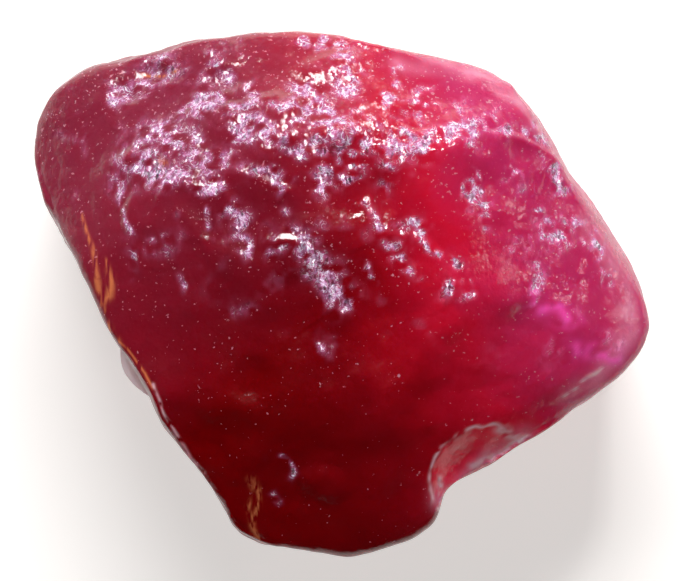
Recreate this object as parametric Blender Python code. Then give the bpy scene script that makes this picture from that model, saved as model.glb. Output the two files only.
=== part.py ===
"""A rough ruby crystal: a flattish lump of corundum lying on its parting plane.

The stone is one closed body. Its smooth form is where outside() is nought: the meeting of
the plan outline with the growth faces above and below, less the chipped corner. Every point
of a subdivided cube is pushed out from the stone's heart until it gets there. The form is
then raised or sunk along its normals by growth ledges, pits, the low skirt at its left foot,
broken hollows in its flanks, parting steps and low lumps. Its triangles are thinned out
where it is flat, and the underside is cut flat, where the stone parted from its matrix.

Metres, +Z up. The origin is on the flat underside, below the middle of the bounding box.
"""

import itertools
import math

import bmesh
import bpy
import numpy as np
from mathutils import Vector

MM = 0.001

# Driving dimensions
HEART_HEIGHT = 2.3 * MM
WALL_HEIGHT = 3.7 * MM        # from the rim, where the stone is widest, to the foot
WALL_DRAFT = 0.03             # share of the radius lost down the wall: evenly, and by its curve
WALL_CURVE = 0.04
EDGE_ROUNDING = 0.05 * MM     # where the faces above and below meet the wall
FACE_ROUNDING = 0.03 * MM     # where one face meets the next
CORNER_BLUR = math.radians(1.6)
WALL_BLUR = math.radians(9)

# How finely the body is divided, and the share of its triangles kept
CUTS_PER_SIDE = 60
KEPT_SHARE = 0.19
PLAN_STRETCH = (1.25, 1.08, 0.85)
SHARP_EDGE = math.radians(35)
NEAR_CUT = 0.03 * MM          # points this near the flat underside are laid on it

# The plan outline, seen from above, anticlockwise from the right-hand corner (mm)
OUTLINE = [
    (4.14, -0.37), (4.06, 0.10), (3.83, 0.62), (3.47, 1.13), (3.07, 1.57), (2.84, 2.01),
    (2.60, 2.39), (2.31, 2.69), (1.96, 2.95), (1.50, 3.07), (0.97, 3.18), (0.46, 3.28),
    (0.05, 3.42), (-0.55, 3.49), (-1.21, 3.43), (-1.89, 3.33), (-2.56, 3.13), (-3.15, 3.04),
    (-3.53, 2.90), (-3.86, 2.64), (-4.05, 2.29), (-4.10, 1.89), (-3.99, 1.47), (-3.75, 1.00),
    (-3.51, 0.55), (-3.30, 0.05), (-3.10, -0.42), (-2.72, -0.97), (-2.54, -1.29),
    (-2.38, -1.68), (-2.11, -2.03), (-1.82, -2.38), (-1.55, -2.78), (-1.36, -3.15),
    (-0.98, -3.34), (-0.42, -3.43), (0.05, -3.49), (0.48, -3.41), (0.92, -3.27),
    (1.27, -3.02), (1.40, -2.62), (1.72, -2.41), (2.12, -2.18), (2.46, -1.97),
    (2.84, -1.73), (3.30, -1.42), (3.72, -1.09), (4.03, -0.75),
]

# Growth faces that close the stone above: a point on each (mm), and its rise along X and Y
UPPER_FACES = {
    "main": ((-0.15, 0.05, 4.72), (-0.02, 0.10)),
    "lower": ((-0.15, -1.95, 4.42), (0.06, 0.46)),
    "upper": ((-0.55, 2.50, 4.62), (0.05, -0.75)),
    "upper_left": ((-2.73, 2.29, 3.95), (0.45, -0.45)),
    "upper_right": ((1.80, 2.40, 4.25), (-0.40, -0.75)),
    "upper_right_edge": ((1.90, 2.86, 3.765), (-0.80, -1.70)),
    "left_shoulder": ((-3.60, 1.89, 3.55), (0.70, -0.22)),
    "left": ((-2.73, 0.57, 4.35), (0.42, 0.00)),
    "right": ((1.83, 1.23, 4.60), (-0.28, -0.10)),
    "right_slope": ((3.02, 0.18, 3.90), (-0.60, -0.10)),
    "right_flank": ((3.85, 0.35, 3.24), (-3.40, -1.90)),
    "lower_right": ((2.09, -0.75, 4.22), (-0.42, 0.38)),
}
# Faces that close it below
UNDER_FACES = {
    "under_right": ((3.15, 0.10, 0.30), (0.85, 0.25)),
    "under_lower_right": ((2.40, -1.45, 0.25), (0.75, -1.30)),
    "under_lower": ((0.20, -2.75, 0.25), (-0.10, -1.30)),
    "under_left": ((-2.40, -1.00, 0.10), (-1.60, -0.90)),
    "under_upper_left": ((-3.35, 2.15, 0.45), (-0.75, 0.50)),
    "under_upper": ((-0.20, 2.85, 0.35), (0.10, 1.25)),
    "under_upper_right": ((2.25, 2.05, 0.40), (0.80, 0.75)),
}

# The chip out of the lower right edge: a point on its mouth (mm), and the mouth's rise along X and Y
CHIP_MOUTH = ((1.90, -2.46, 3.65), (-0.42, 0.38))
CHIP_REACH = 0.70 * MM
CHIP_DEPTH = 0.11 * MM
CHIP_WANDER = 0.07 * MM       # how far the chip strays from a true round
# The skirt at the left foot: middle, half length, half width, top, and how far it stands out (mm)
SKIRT = ((-2.76, -1.10), 0.70, 0.50, 2.10, 0.38)
SKIRT_BEARING = math.radians(118)

# Growth ledges on the top: points along each (mm), the height of its step and how far
# behind the step the raised ground fades out (mm). The raised side is on the left of the way.
LEDGES = [
    ([(-0.68, 2.55), (-1.18, 2.52), (-1.67, 2.45), (-2.17, 2.28), (-2.53, 2.09), (-2.75, 1.92)], 0.08, 0.50),
    ([(2.85, 1.92), (2.40, 2.08), (2.05, 2.12), (1.70, 2.06), (1.38, 1.95), (1.04, 1.88),
      (0.72, 1.88), (0.40, 1.93)], 0.075, 0.50),
    ([(-0.71, 1.39), (-1.01, 1.56), (-1.26, 1.64)], 0.06, 0.35),
    ([(-0.55, 2.58), (-0.51, 2.18), (-0.47, 1.89)], -0.07, 0.30),
    ([(1.72, 0.02), (1.59, 0.24), (1.37, 0.57), (1.10, 0.76), (0.77, 0.84)], 0.06, 0.45),
    ([(0.05, -0.11), (-0.13, 0.11), (-0.31, 0.42), (-0.51, 0.71), (-0.75, 0.71)], 0.06, 0.40),
    ([(-2.81, 1.37), (-2.78, 1.04), (-2.70, 0.64), (-2.66, 0.28)], 0.04, 0.35),
    ([(0.61, 0.71), (0.51, 0.90), (0.40, 1.14)], 0.04, 0.25),
    ([(-1.33, 0.65), (-1.29, 0.97), (-1.41, 1.21), (-1.67, 1.42), (-2.24, 1.60)], 0.06, 0.40),
    ([(3.48, 0.42), (3.31, 0.71), (3.08, 0.90)], 0.035, 0.35),
]
LEDGE_RISER = 0.07 * MM

# Pits, and bosses where the depth is negative: middle, half lengths and depth (mm)
PITS = [
    ((-2.36, 2.95), (0.32, 0.15), 0.06),
    ((-1.54, 2.86), (0.24, 0.20), 0.05),
    ((-2.86, 2.66), (0.20, 0.16), 0.05),
    ((-0.12, 3.00), (0.52, 0.20), -0.05),
    ((-0.06, 2.08), (0.30, 0.27), -0.07),
    ((1.02, 2.35), (0.28, 0.20), 0.05),
    ((-1.52, 0.85), (0.26, 0.22), 0.03),
    ((2.55, -0.35), (0.40, 0.26), 0.03),
    ((-1.10, -1.15), (0.34, 0.28), 0.05),
    ((0.95, -1.45), (0.42, 0.30), 0.03),
    ((-0.20, -2.55), (0.34, 0.24), -0.05),
    ((0.55, 1.25), (0.22, 0.30), 0.05),
]

# Broken hollows in the flanks: centre, radius and depth (mm)
HOLLOWS = [
    ((-3.45, 0.55, 1.90), 1.00, 0.26), ((-2.50, -1.55, 2.60), 0.75, 0.20), ((-3.05, -0.45, 2.95), 0.50, 0.14),
    ((-1.65, -2.70, 1.70), 0.80, 0.22), ((-0.20, -3.45, 2.30), 0.85, 0.20), ((0.75, -3.30, 1.30), 0.65, 0.18),
    ((3.15, -1.50, 2.20), 0.80, 0.22), ((3.95, -0.70, 1.60), 0.70, 0.20), ((3.75, 0.75, 1.90), 0.75, 0.20),
    ((2.95, 1.80, 2.00), 0.80, 0.22), ((2.30, 2.75, 1.50), 0.85, 0.24), ((0.90, 3.20, 2.30), 0.90, 0.22),
    ((-0.50, 3.50, 1.50), 0.90, 0.24), ((-1.60, 3.40, 2.10), 0.70, 0.18), ((-2.95, 3.05, 1.60), 0.85, 0.24),
    ((-4.00, 2.40, 2.20), 0.85, 0.22), ((-3.95, 1.50, 2.60), 0.60, 0.16), ((-3.60, 1.30, 0.95), 0.70, 0.18),
]

# Parting steps round the flanks, and the low lumps all over: spacing and height (mm)
PARTING_SPACING = 0.75 * MM
PARTING_STEP = 0.045 * MM
LUMPS = [(1.6, 0.09, 3), (0.7, 0.036, 4)]
# How far the ledges and pits stray from their drawn lines, and over what distance
WANDER = 0.10 * MM
WANDER_SIZE = 0.55 * MM


def outline_table(blur):
    """The outline's distance from the middle on 720 bearings, its corners rounded by a blur."""
    corners = np.array(OUTLINE) * MM
    bearings = np.linspace(-math.pi, math.pi, 721)[:-1]
    rays = np.stack([np.cos(bearings), np.sin(bearings)], axis=1)
    radii = np.zeros(len(bearings))
    for start, end in zip(corners, np.roll(corners, -1, axis=0)):
        side = end - start
        across = rays[:, 0] * side[1] - rays[:, 1] * side[0]
        distance = (start[0] * side[1] - start[1] * side[0]) / across
        along = (rays * distance[:, None] - start) @ side / (side @ side)
        hit = (distance > 0) & (along >= -1e-6) & (along <= 1 + 1e-6)
        radii[hit] = distance[hit]
    offsets = (bearings - bearings[0] + math.pi) % (2 * math.pi) - math.pi
    weights = np.exp(-0.5 * (offsets / blur) ** 2)
    spectrum = np.fft.rfft(radii) * np.fft.rfft(weights / weights.sum())
    return bearings, np.fft.irfft(spectrum, len(radii))


AT_RIM = outline_table(CORNER_BLUR)
AT_FOOT = outline_table(WALL_BLUR)


def smooth_most(distances, rounding):
    """The largest of several distances, eased where two are nearly equal."""
    stack = np.array(distances)
    most = stack.max(axis=0)
    return most + rounding * np.log(np.exp((stack - most) / rounding).sum(axis=0))


def beyond_face(points, face):
    """How far above a face the points are."""
    (px, py, pz), (rise_x, rise_y) = face
    x, y, z = points.T
    over = z - pz * MM - rise_x * (x - px * MM) - rise_y * (y - py * MM)
    return over / math.sqrt(1 + rise_x**2 + rise_y**2)


def top_height(x, y):
    """Height of the lowest of the upper faces at these places."""
    heights = []
    for (px, py, pz), (rise_x, rise_y) in UPPER_FACES.values():
        heights.append(pz * MM + rise_x * (x - px * MM) + rise_y * (y - py * MM))
    return np.min(heights, axis=0)


def beyond_wall(points):
    """How far outside the plan outline the points are. It draws in below the upper faces."""
    x, y, z = points.T
    bearing = np.arctan2(y, x)
    fall = np.clip((top_height(x, y) - z) / WALL_HEIGHT, 0, 1.2)
    sharp = np.interp(bearing, *AT_RIM, period=2 * math.pi)
    soft = np.minimum(np.interp(bearing, *AT_FOOT, period=2 * math.pi), sharp)
    radius = sharp + (soft - sharp) * np.minimum(fall, 1)
    return np.hypot(x, y) - radius * (1 - WALL_DRAFT * fall - WALL_CURVE * fall**2)


def lumps(points, size, seed):
    """Gradient noise, about -0.7 to 0.7, with lumps of this size."""
    rng = np.random.default_rng(seed)
    slopes = rng.normal(size=(256, 3))
    order = rng.permutation(256)
    place = points / size
    cell = np.floor(place).astype(int)
    part = place - cell
    ease = part**3 * (part * (part * 6 - 15) + 10)
    total = np.zeros(len(points))
    for corner in itertools.product((0, 1), repeat=3):
        i, j, k = (cell + corner).T
        key = order[(order[(order[i % 256] + j) % 256] + k) % 256]
        weight = np.where(corner, ease, 1 - ease).prod(axis=1)
        total += weight * (slopes[key] * (part - corner)).sum(axis=1)
    return total


def beyond_chip(points):
    """How far above the chip's dish the points are. The dish rises past its mouth's reach."""
    middle = np.array(CHIP_MOUTH[0][:2]) * MM
    stray = CHIP_WANDER * (lumps(points, 0.5 * MM, 5) + 0.5 * lumps(points, 0.22 * MM, 6))
    across = (np.linalg.norm(points[:, :2] - middle, axis=1) + stray) / CHIP_REACH
    return beyond_face(points, CHIP_MOUTH) + CHIP_DEPTH * (1 - across**2)


def outside(points):
    """Signed distance outside the stone's smooth form, roughly."""
    above = smooth_most([beyond_face(points, face) for face in UPPER_FACES.values()], FACE_ROUNDING)
    below = smooth_most([-beyond_face(points, face) for face in UNDER_FACES.values()], FACE_ROUNDING)
    lump = smooth_most([above, below, beyond_wall(points)], EDGE_ROUNDING)
    return smooth_most([lump, beyond_chip(points)], FACE_ROUNDING / 4)


def pushed_out(directions):
    """Points along these directions from the stone's heart, each on the smooth form."""
    heart = np.array([0, 0, HEART_HEIGHT])
    near = np.full(len(directions), 0.5 * MM)
    far = np.full(len(directions), 7 * MM)
    for _ in range(34):
        middle = (near + far) / 2
        is_out = outside(heart + directions * middle[:, None]) > 0
        near = np.where(is_out, near, middle)
        far = np.where(is_out, middle, far)
    return heart + directions * near[:, None]


def normals_at(points):
    """The smooth form's outward normals, from the slope of outside()."""
    nudge = 0.002 * MM
    slope = np.stack([outside(points + nudge * axis) - outside(points - nudge * axis)
                      for axis in np.eye(3)], axis=1)
    return slope / np.linalg.norm(slope, axis=1)[:, None]


def ease_in(value, low, high):
    """0 below low, 1 above high, and smooth between."""
    share = np.clip((value - low) / (high - low), 0, 1)
    return share * share * (3 - 2 * share)


def ledge_height(plan, ledge):
    """A step along a line of points: steep on its right, fading out on its left."""
    way, height, fade = ledge
    corners = np.array(way) * MM
    nearest = np.full(len(plan), np.inf)
    side = np.zeros(len(plan))
    past_end = np.zeros(len(plan))
    for number, (start, end) in enumerate(zip(corners[:-1], corners[1:])):
        along = (plan - start) @ (end - start) / ((end - start) @ (end - start))
        held = np.clip(along, 0, 1)
        gap = plan - start - held[:, None] * (end - start)
        distance = np.linalg.norm(gap, axis=1)
        cross = (end - start)[0] * (plan - start)[:, 1] - (end - start)[1] * (plan - start)[:, 0]
        beyond = ((along < 0) & (number == 0)) | ((along > 1) & (number == len(corners) - 2))
        aside = np.where(beyond, cross / np.linalg.norm(end - start), np.sign(cross) * distance)
        closer = distance < nearest
        nearest = np.where(closer, distance, nearest)
        side = np.where(closer, aside, side)
        past_end = np.where(closer, np.where(beyond, distance, 0), past_end)
    riser = ease_in(side, -LEDGE_RISER, LEDGE_RISER)
    behind = np.exp(-np.clip(side, 0, None) / (fade * MM))
    ends = 1 - ease_in(past_end, 0, 0.35 * MM)
    return height * MM * riser * behind * ends


def skirt_height(plan, height):
    """The low skirt: full along its middle, and gone above its top and past its ends."""
    middle, half_length, half_width, top, stands_out = SKIRT
    x, y = (plan - np.array(middle) * MM).T / MM
    along = x * math.cos(SKIRT_BEARING) + y * math.sin(SKIRT_BEARING)
    across = y * math.cos(SKIRT_BEARING) - x * math.sin(SKIRT_BEARING)
    reach = np.hypot(along / half_length, across / half_width)
    below_top = 1 - ease_in(height, (top - 1.1) * MM, top * MM)
    return stands_out * MM * (1 - ease_in(reach, 0.35, 1.15)) * below_top


def hollow_depth(points):
    """Shallow bowls with sharp rims: the deepest one wherever two of them meet."""
    deepest = np.zeros(len(points))
    for centre, radius, depth in HOLLOWS:
        reach = np.linalg.norm(points - np.array(centre) * MM, axis=1) / (radius * MM)
        deepest = np.maximum(deepest, depth * MM * np.clip(1 - reach**2, 0, None))
    return deepest


def relief(points, normals):
    """How far each point of the smooth form is raised."""
    wander = [lumps(points, WANDER_SIZE, seed) for seed in (11, 12)]
    plan = points[:, :2] + WANDER * np.stack(wander, axis=1)
    broken = ease_in(lumps(points, 0.5 * MM, 13), -0.9, 0.5)
    raised = broken * sum(ledge_height(plan, ledge) for ledge in LEDGES)
    for middle, halves, depth in PITS:
        reach = np.linalg.norm((plan - np.array(middle) * MM) / (np.array(halves) * MM), axis=1)
        raised = raised - depth * MM * (1 - ease_in(reach, 0.3, 1.2))
    raised = raised * ease_in(normals[:, 2], 0.15, 0.45)
    raised += skirt_height(plan, points[:, 2])
    raised -= hollow_depth(np.column_stack([plan, points[:, 2]]))
    tilted = points[:, 2] + 0.16 * points[:, 0] - 0.1 * points[:, 1]
    wavy = tilted + 0.3 * MM * lumps(points, 2.4 * MM, 7)
    saw = (wavy / PARTING_SPACING) % 1
    step = np.minimum(saw / 0.8, (1 - saw) / 0.2)
    patchy = ease_in(lumps(points, 1.5 * MM, 8), -0.15, 0.35)
    raised += PARTING_STEP * step * patchy * (1 - ease_in(np.abs(normals[:, 2]), 0.35, 0.75))
    lumpy = sum(height * MM * lumps(points, size * MM, seed) for size, height, seed in LUMPS)
    return raised + lumpy * (0.45 + 0.55 * np.abs(normals[:, 2]))


def full_form():
    """The whole form in fine triangles, its underside not yet cut."""
    bm = bmesh.new()
    bmesh.ops.create_cube(bm, size=2)
    bmesh.ops.subdivide_edges(bm, edges=bm.edges[:], cuts=CUTS_PER_SIDE, use_grid_fill=True)
    corners = np.array([v.co for v in bm.verts])
    directions = np.tan(corners * math.pi / 4) * np.array(PLAN_STRETCH)
    directions /= np.linalg.norm(directions, axis=1)[:, None]
    points = pushed_out(directions)
    normals = normals_at(points)
    points += normals * relief(points, normals)[:, None]
    for vert, place in zip(bm.verts, points):
        vert.co = Vector(place)
    bmesh.ops.triangulate(bm, faces=bm.faces[:])
    mesh = bpy.data.meshes.new("ruby_crystal_form")
    bm.to_mesh(mesh)
    bm.free()
    return mesh


def thinned(mesh):
    """The form with fewer triangles where it is flat."""
    form = bpy.data.objects.new("ruby_crystal_form", mesh)
    bpy.context.scene.collection.objects.link(form)
    decimate = form.modifiers.new("thin", "DECIMATE")
    decimate.ratio = KEPT_SHARE
    depsgraph = bpy.context.evaluated_depsgraph_get()
    result = bpy.data.meshes.new_from_object(form.evaluated_get(depsgraph))
    bpy.data.objects.remove(form)
    return result


def cut_flat(mesh):
    """The stone: its form cut off at Z 0, closed there with one flat face, and centred."""
    bm = bmesh.new()
    bm.from_mesh(mesh)
    for vert in bm.verts:
        if abs(vert.co.z) < NEAR_CUT:
            vert.co.z = 0
    bmesh.ops.bisect_plane(
        bm, geom=bm.verts[:] + bm.edges[:] + bm.faces[:], dist=1e-7,
        plane_co=(0, 0, 0), plane_no=(0, 0, -1), clear_outer=True,
    )
    on_plane = [v for v in bm.verts if v.co.z == 0]
    bmesh.ops.remove_doubles(bm, verts=on_plane, dist=NEAR_CUT)
    lying = [f for f in bm.faces if all(v.co.z == 0 for v in f.verts)]
    bmesh.ops.delete(bm, geom=lying, context="FACES")
    loose = [e for e in bm.edges if e.is_wire]
    bmesh.ops.delete(bm, geom=loose, context="EDGES")
    rim = [e for e in bm.edges if e.is_boundary]
    bmesh.ops.contextual_create(bm, geom=rim)
    bmesh.ops.recalc_face_normals(bm, faces=bm.faces[:])
    plan = np.array([v.co.xy for v in bm.verts])
    middle = (plan.min(axis=0) + plan.max(axis=0)) / 2
    bmesh.ops.translate(bm, verts=bm.verts[:], vec=(-middle[0], -middle[1], 0))
    stone = bpy.data.meshes.new("ruby_crystal")
    bm.to_mesh(stone)
    bm.free()
    return stone


def ruby():
    """Uncut ruby: deep crimson, with the soft glaze of a growth face."""
    material = bpy.data.materials.new("ruby")
    material.use_nodes = True
    shader = material.node_tree.nodes["Principled BSDF"]
    shader.inputs["Base Color"].default_value = (0.36, 0.008, 0.030, 1)
    shader.inputs["Roughness"].default_value = 0.20
    shader.inputs["Metallic"].default_value = 0
    return material


def main():
    for obj in list(bpy.data.objects):
        bpy.data.objects.remove(obj)
    mesh = cut_flat(thinned(full_form()))
    mesh.shade_smooth()
    mesh.set_sharp_from_angle(angle=SHARP_EDGE)
    mesh.materials.append(ruby())
    stone = bpy.data.objects.new("ruby_crystal", mesh)
    bpy.context.scene.collection.objects.link(stone)


main()
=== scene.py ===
import itertools
import math

import bpy
import numpy as np
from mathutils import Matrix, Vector


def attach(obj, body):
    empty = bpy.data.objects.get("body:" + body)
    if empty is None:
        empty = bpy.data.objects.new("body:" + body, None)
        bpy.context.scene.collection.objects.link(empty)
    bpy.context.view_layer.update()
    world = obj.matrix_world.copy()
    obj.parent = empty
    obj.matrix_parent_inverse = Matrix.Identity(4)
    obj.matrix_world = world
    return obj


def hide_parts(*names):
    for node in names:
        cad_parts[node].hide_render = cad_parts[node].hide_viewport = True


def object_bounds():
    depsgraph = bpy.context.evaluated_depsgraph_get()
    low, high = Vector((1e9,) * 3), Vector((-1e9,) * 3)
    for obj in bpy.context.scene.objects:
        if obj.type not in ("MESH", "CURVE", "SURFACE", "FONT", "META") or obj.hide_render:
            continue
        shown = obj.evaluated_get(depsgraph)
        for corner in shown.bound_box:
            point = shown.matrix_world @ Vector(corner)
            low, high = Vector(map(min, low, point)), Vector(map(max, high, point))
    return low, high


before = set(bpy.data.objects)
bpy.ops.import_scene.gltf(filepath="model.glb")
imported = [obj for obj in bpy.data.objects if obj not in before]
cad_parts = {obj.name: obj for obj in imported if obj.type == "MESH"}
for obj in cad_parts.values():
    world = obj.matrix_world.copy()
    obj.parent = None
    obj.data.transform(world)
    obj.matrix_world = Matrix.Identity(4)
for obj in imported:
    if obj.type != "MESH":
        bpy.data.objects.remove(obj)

mm = 0.001
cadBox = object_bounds()
print("frame loaded")


# ruby skin: sizes in mm, angles in degrees
rubyForm = {
    "heartHeight": 2.3,        # every ray to the skin starts here, above the middle of the base
    "rimHeight": 3.7,          # the stone is widest at its rim and draws in below it
    "wallDraft": 0.03,         # share of the radius lost down the wall: evenly, and by its curve
    "wallCurve": 0.04,
    "edgeRounding": 0.05,      # where the faces above and below meet the wall
    "faceRounding": 0.03,      # where one face meets the next
    "cornerBlur": 1.6, "wallBlur": 9,          # the outline's corners, at the rim and at the foot
    "nearest": 0.5, "farthest": 7, "halvings": 22,     # the search along each ray for the skin
    "boxShare": 0.9995,        # the most of the solid's box that the skin fills
    "sharpAngle": 50,          # a steeper fold than this is shaded as an edge
    "capAcross": 222,          # squares across the grid that covers the top
    "rimRows": 8, "wallRows": 44,              # rows over the rim, and from there down to the base
    "rimHalf": 0.09,           # how far the rim's rows reach to either side of it
}

# plan outline seen from above, anticlockwise from the right-hand corner
rubyOutline = [
    (4.14, -0.37), (4.06, 0.10), (3.83, 0.62), (3.47, 1.13), (3.07, 1.57), (2.84, 2.01),
    (2.60, 2.39), (2.31, 2.69), (1.96, 2.95), (1.50, 3.07), (0.97, 3.18), (0.46, 3.28),
    (0.05, 3.42), (-0.55, 3.49), (-1.21, 3.43), (-1.89, 3.33), (-2.56, 3.13), (-3.15, 3.04),
    (-3.53, 2.90), (-3.86, 2.64), (-4.05, 2.29), (-4.10, 1.89), (-3.99, 1.47), (-3.75, 1.00),
    (-3.51, 0.55), (-3.30, 0.05), (-3.10, -0.42), (-2.72, -0.97), (-2.54, -1.29),
    (-2.38, -1.68), (-2.11, -2.03), (-1.82, -2.38), (-1.55, -2.78), (-1.36, -3.15),
    (-0.98, -3.34), (-0.42, -3.43), (0.05, -3.49), (0.48, -3.41), (0.92, -3.27),
    (1.27, -3.02), (1.40, -2.62), (1.72, -2.41), (2.12, -2.18), (2.46, -1.97),
    (2.84, -1.73), (3.30, -1.42), (3.72, -1.09), (4.03, -0.75),
]

# growth faces above and below: a point on each, and its rise along X and Y
facesAbove = {
    "main": ((-0.15, 0.05, 4.72), (-0.02, 0.10)),
    "lower": ((-0.15, -1.95, 4.42), (0.06, 0.46)),
    "upper": ((-0.55, 2.50, 4.62), (0.05, -0.75)),
    "upperLeft": ((-2.73, 2.29, 3.95), (0.45, -0.45)),
    "upperRight": ((1.80, 2.40, 4.25), (-0.40, -0.75)),
    "upperRightEdge": ((1.90, 2.86, 3.765), (-0.80, -1.70)),
    "leftShoulder": ((-3.60, 1.89, 3.55), (0.70, -0.22)),
    "left": ((-2.73, 0.57, 4.35), (0.42, 0.00)),
    "right": ((1.83, 1.23, 4.60), (-0.28, -0.10)),
    "rightSlope": ((3.02, 0.18, 3.90), (-0.60, -0.10)),
    "rightFlank": ((3.85, 0.35, 3.24), (-3.40, -1.90)),
    "lowerRight": ((2.09, -0.75, 4.22), (-0.42, 0.38)),
}
facesBelow = {
    "underRight": ((3.15, 0.10, 0.30), (0.85, 0.25)),
    "underLowerRight": ((2.40, -1.45, 0.25), (0.75, -1.30)),
    "underLower": ((0.20, -2.75, 0.25), (-0.10, -1.30)),
    "underLeft": ((-2.40, -1.00, 0.10), (-1.60, -0.90)),
    "underUpperLeft": ((-3.35, 2.15, 0.45), (-0.75, 0.50)),
    "underUpper": ((-0.20, 2.85, 0.35), (0.10, 1.25)),
    "underUpperRight": ((2.25, 2.05, 0.40), (0.80, 0.75)),
}

# the dish chipped out of the lower right edge; its mouth is a plane, given as the faces are
chip = {
    "mouth": ((1.90, -2.46, 3.65), (-0.42, 0.38)),
    "reach": 0.70, "depth": 0.11,
    "wander": 0.07, "wanderSizes": (0.5, 0.22),      # how far its edge strays, over what distances
    "rimWidth": 0.020,                               # half the width of the pale line round it
}
# the low skirt at the left foot
skirt = {
    "middle": (-2.76, -1.10), "bearing": 118,
    "halfLength": 0.70, "halfWidth": 0.50,
    "fullTo": 0.35, "goneBy": 1.15,                  # shares of those half lengths
    "top": 2.10, "fadesOver": 1.1,                   # over this height it sinks back into the flank
    "standsOut": 0.38,
}

# each growth ledge: points along its step, the step's height, and how far behind the step
# the raised ground fades out; the raised side is on the left of the way
growthLedges = [
    ([(-0.68, 2.55), (-1.18, 2.52), (-1.67, 2.45), (-2.17, 2.28), (-2.53, 2.09),
      (-2.75, 1.92)], 0.08, 0.50),
    ([(2.85, 1.92), (2.40, 2.08), (2.05, 2.12), (1.70, 2.06), (1.38, 1.95), (1.04, 1.88),
      (0.72, 1.88), (0.40, 1.93)], 0.075, 0.50),
    ([(-0.71, 1.39), (-1.01, 1.56), (-1.26, 1.64)], 0.06, 0.35),
    ([(-0.55, 2.58), (-0.51, 2.18), (-0.47, 1.89)], -0.07, 0.30),
    ([(1.72, 0.02), (1.59, 0.24), (1.37, 0.57), (1.10, 0.76), (0.77, 0.84)], 0.06, 0.45),
    ([(0.05, -0.11), (-0.13, 0.11), (-0.31, 0.42), (-0.51, 0.71), (-0.75, 0.71)], 0.06, 0.40),
    ([(-2.81, 1.37), (-2.78, 1.04), (-2.70, 0.64), (-2.66, 0.28)], 0.04, 0.35),
    ([(0.61, 0.71), (0.51, 0.90), (0.40, 1.14)], 0.04, 0.25),
    ([(-1.33, 0.65), (-1.29, 0.97), (-1.41, 1.21), (-1.67, 1.42), (-2.24, 1.60)], 0.06, 0.40),
    ([(3.48, 0.42), (3.31, 0.71), (3.08, 0.90)], 0.035, 0.35),
]

# pits, and bosses where the depth is negative: middle, half lengths, depth
growthPits = [
    ((-2.36, 2.95), (0.32, 0.15), 0.06), ((-1.54, 2.86), (0.24, 0.20), 0.05),
    ((-2.86, 2.66), (0.20, 0.16), 0.05), ((-0.12, 3.00), (0.52, 0.20), -0.05),
    ((-0.06, 2.08), (0.30, 0.27), -0.07), ((1.02, 2.35), (0.28, 0.20), 0.05),
    ((-1.52, 0.85), (0.26, 0.22), 0.03), ((2.55, -0.35), (0.40, 0.26), 0.03),
    ((-1.10, -1.15), (0.34, 0.28), 0.05), ((0.95, -1.45), (0.42, 0.30), 0.03),
    ((-0.20, -2.55), (0.34, 0.24), -0.05), ((0.55, 1.25), (0.22, 0.30), 0.05),
]

# broken hollows in the flanks: centre, radius and depth
brokenHollows = [
    ((-3.45, 0.55, 1.90), 1.00, 0.26), ((-2.50, -1.55, 2.60), 0.75, 0.20),
    ((-3.05, -0.45, 2.95), 0.50, 0.14), ((-1.65, -2.70, 1.70), 0.80, 0.22),
    ((-0.20, -3.45, 2.30), 0.85, 0.20), ((0.75, -3.30, 1.30), 0.65, 0.18),
    ((3.15, -1.50, 2.20), 0.80, 0.22), ((3.95, -0.70, 1.60), 0.70, 0.20),
    ((3.75, 0.75, 1.90), 0.75, 0.20), ((2.95, 1.80, 2.00), 0.80, 0.22),
    ((2.30, 2.75, 1.50), 0.85, 0.24), ((0.90, 3.20, 2.30), 0.90, 0.22),
    ((-0.50, 3.50, 1.50), 0.90, 0.24), ((-1.60, 3.40, 2.10), 0.70, 0.18),
    ((-2.95, 3.05, 1.60), 0.85, 0.24), ((-4.00, 2.40, 2.20), 0.85, 0.22),
    ((-3.95, 1.50, 2.60), 0.60, 0.16), ((-3.60, 1.30, 0.95), 0.70, 0.18),
]

# fine surface of the growth faces and the flanks
rubySurface = {
    "ledgeRiser": 0.07, "ledgeEnd": 0.35,        # half a step's width, and how far past its ends it fades
    "wander": 0.10, "wanderSize": 0.55,          # how far ledges and pits stray, over what distance
    "breakSize": 0.5,                            # the stretches in which ledges weaken
    "partingSpacing": 0.75, "partingStep": 0.045, "partingRise": 0.8,    # the share of a step that slopes out
    "partingTilt": (0.16, -0.10), "partingWave": 0.3, "partingWaveSize": 2.4, "partingPatch": 1.5,
    "lumps": [(1.6, 0.09, 3), (0.7, 0.036, 4)],  # size, height, seed, as in the next two
    "crinkles": [(0.26, 0.022, 21), (0.13, 0.014, 22)],
    "dimples": [(0.40, 0.012, 23), (0.20, 0.007, 24)],
    "striaSpacing": 0.21, "striaHeight": 0.025,  # growth lines round the flanks
    "striaTilt": 0.16, "striaWave": 0.12, "striaWaveSize": 1.1, "striaPatch": 0.9,
}

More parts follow.
